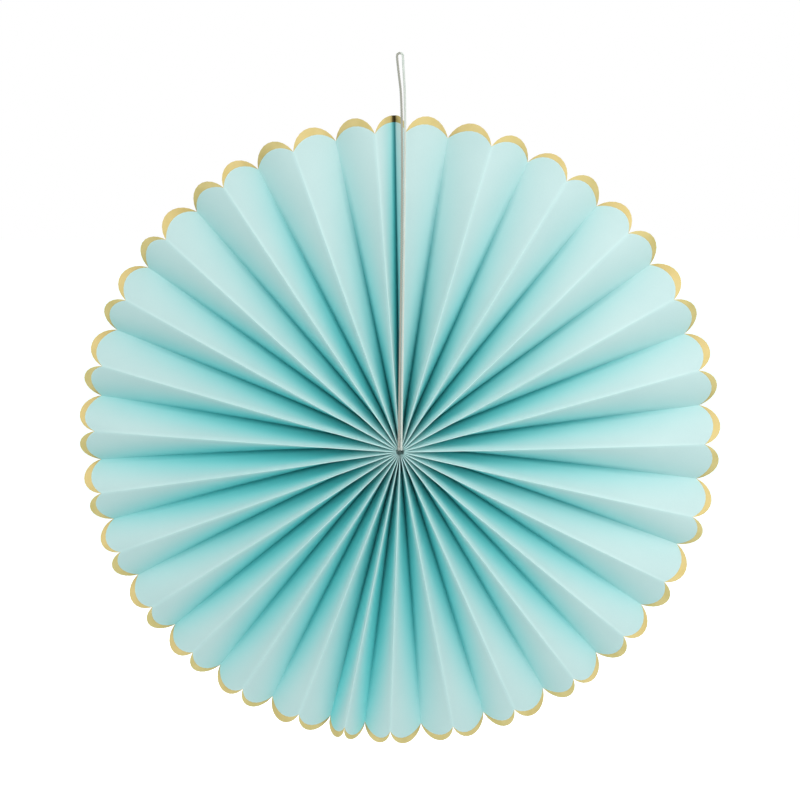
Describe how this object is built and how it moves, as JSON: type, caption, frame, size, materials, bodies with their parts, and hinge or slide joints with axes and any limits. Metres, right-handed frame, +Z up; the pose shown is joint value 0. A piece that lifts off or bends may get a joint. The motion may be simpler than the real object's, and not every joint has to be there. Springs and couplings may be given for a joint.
{
  "type": "paper fan rosette",
  "caption": "Round paper fan rosette: an accordion-folded paper disc with a gold-edged scalloped rim, gathered at its hub and hung by a doubled cord.",
  "frame": {"origin": "inside the top of the hanging loop, where a hook or pin carries it", "axes": "+Z up along the cord, +Y from the rosette's face to its back, +X to the right seen from the front"},
  "size_m": [0.2494, 0.0211, 0.2707],
  "materials": {
    "paper": "matt aqua, gold foil rim",
    "cord": "twisted string"
  },
  "bodies": {
    "root": {"pleated_paper": "paper", "hanging_cord": "cord", "cord_knot": "cord"}
  },
  "joints": []
}
